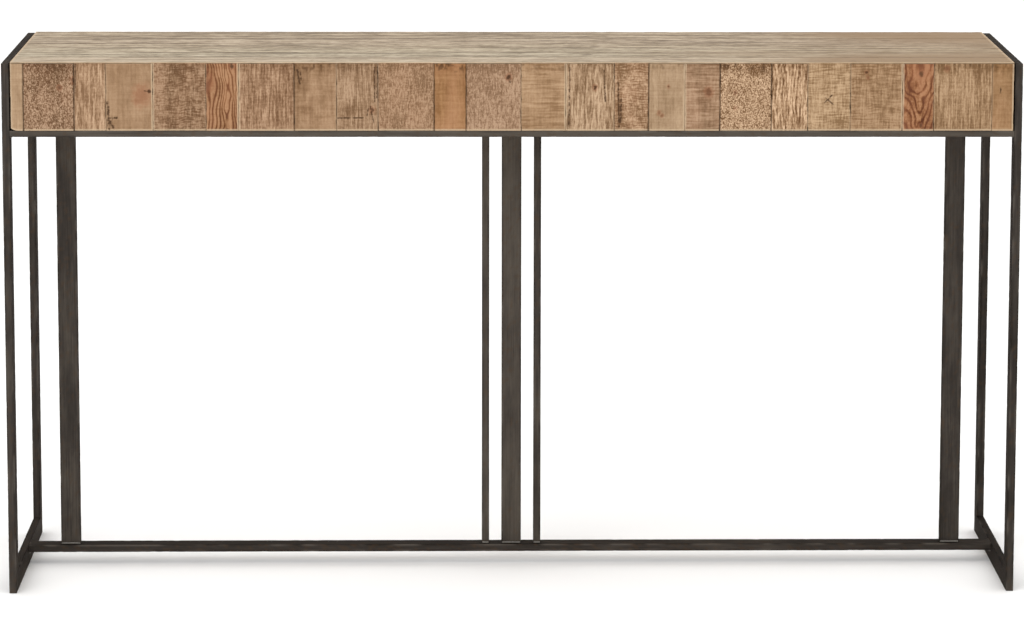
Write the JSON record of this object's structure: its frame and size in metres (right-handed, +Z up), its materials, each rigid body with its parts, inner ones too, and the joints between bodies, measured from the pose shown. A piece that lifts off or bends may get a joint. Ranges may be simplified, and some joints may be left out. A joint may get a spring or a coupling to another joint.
{
  "type": "console table",
  "caption": "Long narrow console table: a thick block of reclaimed boards held between flat steel end loops, with slim steel uprights on a low stretcher.",
  "frame": {"origin": "on the floor, under the middle of the table", "axes": "+X along the length of the table, +Y from the front towards the wall, +Z up"},
  "size_m": [1.6, 0.43, 0.85],
  "materials": {
    "frame_steel": "dark gunmetal patina with worn arrises, satin",
    "upright_steel": "dark gunmetal patina, lightly mottled, satin",
    "weld": "bare weld metal, satin",
    "screw": "zinc plated, satin",
    "face_wood": "reclaimed boards, sawn and lightly sanded, matt",
    "top_wood": "weathered planks, greyed, matt",
    "core_wood": "plain inner softwood, unfinished"
  },
  "bodies": {
    "root": {"left_front_post": "frame_steel", "left_rear_post": "frame_steel", "left_top_rail": "frame_steel", "left_bottom_rail": "frame_steel", "right_front_post": "frame_steel", "right_rear_post": "frame_steel", "right_top_rail": "frame_steel", "right_bottom_rail": "frame_steel", "front_rail": "frame_steel", "rear_rail": "frame_steel", "mid_rail": "frame_steel", "left_cross_bearer": "frame_steel", "right_cross_bearer": "frame_steel", "lower_stretcher": "frame_steel", "left_upright": "upright_steel", "centre_upright": "upright_steel", "right_upright": "upright_steel", "left_slim_upright": "upright_steel", "right_slim_upright": "upright_steel", "weld_beads": "weld", "mounting_screws": "screw", "front_board_01": "face_wood", "front_board_02": "face_wood", "front_board_03": "face_wood", "front_board_04": "face_wood", "front_board_05": "face_wood", "front_board_06": "face_wood", "front_board_07": "face_wood", "front_board_08": "face_wood", "front_board_09": "face_wood", "front_board_10": "face_wood", "front_board_11": "face_wood", "front_board_12": "face_wood", "front_board_13": "face_wood", "front_board_14": "face_wood", "front_board_15": "face_wood", "front_board_16": "face_wood", "front_board_17": "face_wood", "front_board_18": "face_wood", "front_board_19": "face_wood", "front_board_20": "face_wood", "front_board_21": "face_wood", "front_board_22": "face_wood", "front_board_23": "face_wood", "left_end_board": "face_wood", "right_end_board": "face_wood", "rear_board": "face_wood", "top_plank_1": "top_wood", "top_plank_2": "top_wood", "top_plank_3": "top_wood", "top_plank_4": "top_wood", "top_plank_5": "top_wood", "top_plank_6": "top_wood", "base_board": "core_wood", "core_front_rail": "core_wood", "core_rear_rail": "core_wood", "core_left_rib": "core_wood", "core_centre_rib": "core_wood", "core_right_rib": "core_wood"}
  },
  "joints": []
}
